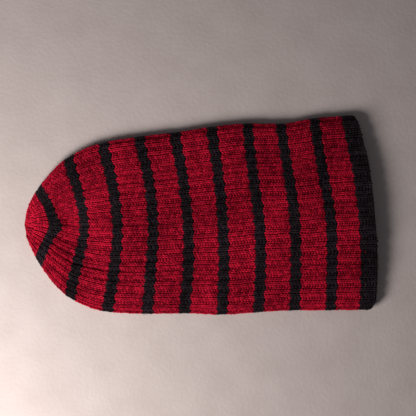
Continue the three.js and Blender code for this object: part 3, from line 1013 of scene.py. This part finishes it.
def floor_material():
    """A pale soft floor with faint mottling."""
    material, shader = new_material("pale_floor", FLOOR_FINISH)
    tree = material.node_tree
    place = add_node(tree, "ShaderNodeTexCoord").outputs["Object"]
    colour = mix_colours(tree, noise_at(tree, place, *FLOOR_CLOUDS), FLOOR_DARK, FLOOR_PALE)
    tree.links.new(colour, shader.inputs["Base Color"])
    normal = bump_of(tree, noise_at(tree, place, *FLOOR_GRAIN), *FLOOR_BUMP)
    tree.links.new(normal, shader.inputs["Normal"])
    return material


class NightcapSettings(bpy.types.PropertyGroup):
    """What can be set before the cap is knitted."""

    red: bpy.props.FloatVectorProperty(
        name="Red Wool", description="Colour of the red yarn", subtype="COLOR", size=3, min=0, max=1,
        default=(0.475, 0.0096, 0.035),
    )
    black: bpy.props.FloatVectorProperty(
        name="Black Wool", description="Colour of the black yarn", subtype="COLOR", size=3, min=0, max=1,
        default=(0.0255, 0.018, 0.0228),
    )
    unevenness: bpy.props.FloatProperty(
        name="Unevenness", description="How unlike each other the stitches are", default=1, min=0, max=3,
        subtype="FACTOR",
    )
    fuzz: bpy.props.FloatProperty(
        name="Fuzz", description="Loose fibres for each stitch",
        default=0.28, min=0, max=2, subtype="UNSIGNED",
    )
    seed: bpy.props.IntProperty(
        name="Seed", description="Start of the random numbers", default=7, min=0, subtype="UNSIGNED",
    )
    camera_height: bpy.props.FloatProperty(
        name="Camera Height", description="Height of the camera over the floor",
        default=0.98, min=0.3, unit="LENGTH",
    )
    view_width: bpy.props.FloatProperty(
        name="View Width", description="Width that the camera sees on the cap",
        default=0.416, min=0.1, unit="LENGTH",
    )
    key_power: bpy.props.FloatProperty(
        name="Key Light", description="Power of the large light at the lower left",
        default=6.7, min=0, unit="POWER",
    )
    fill: bpy.props.FloatProperty(
        name="Fill Light", description="Strength of the light from all round",
        default=0.095, min=0, subtype="FACTOR",
    )


class NIGHTCAP_OT_edge(bpy.types.Operator):
    """Knit the black cast-on edge, on both of its faces, with its rim of loops"""

    bl_idname = "nightcap.edge"
    bl_label = "Knit Cast-on Edge"
    bl_options = {"REGISTER", "UNDO"}

    def execute(self, context):
        end = EDGE_COURSES + EDGE_SPREAD
        knit_band("cast_on_edge", 0, end, EDGE_COURSES, "black_wool", is_lined=True, is_edge=True)
        return {"FINISHED"}


class NIGHTCAP_OT_red_bands(bpy.types.Operator):
    """Knit the red bands of the body and crown"""

    bl_idname = "nightcap.red_bands"
    bl_label = "Knit Red Bands"
    bl_options = {"REGISTER", "UNDO"}

    def execute(self, context):
        for i in range(1, STRIPES + 1):
            start = stripe_ends(i - 1)[1] if i > 1 else EDGE_COURSES + EDGE_SPREAD
            knit_band(f"red_band_{i}", start, stripe_ends(i)[0], RED_COURSES, "red_wool", is_lined=i == 1)
        return {"FINISHED"}


class NIGHTCAP_OT_black_stripes(bpy.types.Operator):
    """Knit the black stripes between the red bands"""

    bl_idname = "nightcap.black_stripes"
    bl_label = "Knit Black Stripes"
    bl_options = {"REGISTER", "UNDO"}

    def execute(self, context):
        for i in range(1, STRIPES + 1):
            knit_band(f"black_stripe_{i}", *stripe_ends(i), BLACK_COURSES, "black_wool")
        return {"FINISHED"}


class NIGHTCAP_OT_crown_tip(bpy.types.Operator):
    """Knit the last red band, drawn together at the crown's tip"""

    bl_idname = "nightcap.crown_tip"
    bl_label = "Knit Crown Tip"
    bl_options = {"REGISTER", "UNDO"}

    def execute(self, context):
        knit_band("crown_tip", stripe_ends(STRIPES)[1], COURSES, RED_COURSES, "red_wool")
        return {"FINISHED"}


class NIGHTCAP_OT_specks(bpy.types.Operator):
    """Lay two specks of red wool on the black yarn"""

    bl_idname = "nightcap.specks"
    bl_label = "Add Wool Specks"
    bl_options = {"REGISTER", "UNDO"}

    def execute(self, context):
        wool_specks()
        return {"FINISHED"}


class NIGHTCAP_OT_stage(bpy.types.Operator):
    """Set up the floor, the lights and the camera"""

    bl_idname = "nightcap.stage"
    bl_label = "Set Up Stage"
    bl_options = {"REGISTER", "UNDO"}

    def execute(self, context):
        settings = context.scene.nightcap
        reach = FLOOR_REACH
        corners = [(-reach, -reach, 0), (reach, -reach, 0), (reach, reach, 0), (-reach, reach, 0)]
        floor = mesh_object("floor", corners, [(0, 1, 2, 3)])
        floor.location.z = -FLOOR_SINK
        floor.data.materials.append(floor_material())

        lamp = bpy.data.lights.new("key", "AREA")
        lamp.size = 0.36
        lamp.energy = settings.key_power
        lamp.color = (1, 0.97, 0.93)
        key = link_object("key", lamp, LAMP_PLACE)
        key.rotation_euler = (Vector(LAMP_TARGET) - Vector(LAMP_PLACE)).to_track_quat("-Z", "Y").to_euler()

        world = bpy.data.worlds.new("room")
        world.use_nodes = True
        background = next(node for node in world.node_tree.nodes if node.type == "BACKGROUND")
        background.inputs["Color"].default_value = (0.93, 0.95, 1, 1)
        background.inputs["Strength"].default_value = settings.fill
        context.scene.world = world

        lens = bpy.data.cameras.new("camera")
        lens.sensor_width = SENSOR_WIDTH
        lens.lens = SENSOR_WIDTH * (settings.camera_height - SHARP_HEIGHT) / settings.view_width
        context.scene.camera = link_object("camera", lens, (*CAMERA_PLACE, settings.camera_height))
        context.scene.view_settings.view_transform = "Standard"
        return {"FINISHED"}


OPERATORS = (
    NIGHTCAP_OT_edge,
    NIGHTCAP_OT_red_bands,
    NIGHTCAP_OT_black_stripes,
    NIGHTCAP_OT_crown_tip,
    NIGHTCAP_OT_specks,
    NIGHTCAP_OT_stage,
)


class NIGHTCAP_PT_panel(bpy.types.Panel):
    """The nightcap's settings and steps"""

    bl_idname = "NIGHTCAP_PT_panel"
    bl_label = "Knitted Nightcap"
    bl_space_type = "VIEW_3D"
    bl_region_type = "UI"
    bl_category = "Nightcap"

    def draw(self, context):
        settings = context.scene.nightcap
        for name in settings.bl_rna.properties.keys():
            if name not in {"rna_type", "name"}:
                self.layout.prop(settings, name)
        for operator in OPERATORS:
            self.layout.operator(operator.bl_idname)


CLASSES = (NightcapSettings, *OPERATORS, NIGHTCAP_PT_panel)


def register():
    for item in CLASSES:
        bpy.utils.register_class(item)
    bpy.types.Scene.nightcap = bpy.props.PointerProperty(type=NightcapSettings)


def unregister():
    del bpy.types.Scene.nightcap
    for item in reversed(CLASSES):
        bpy.utils.unregister_class(item)


def main():
    register()
    bpy.ops.nightcap.edge()
    bpy.ops.nightcap.red_bands()
    bpy.ops.nightcap.black_stripes()
    bpy.ops.nightcap.crown_tip()
    bpy.ops.nightcap.specks()
    bpy.ops.nightcap.stage()


if __name__ == "__main__":
    main()
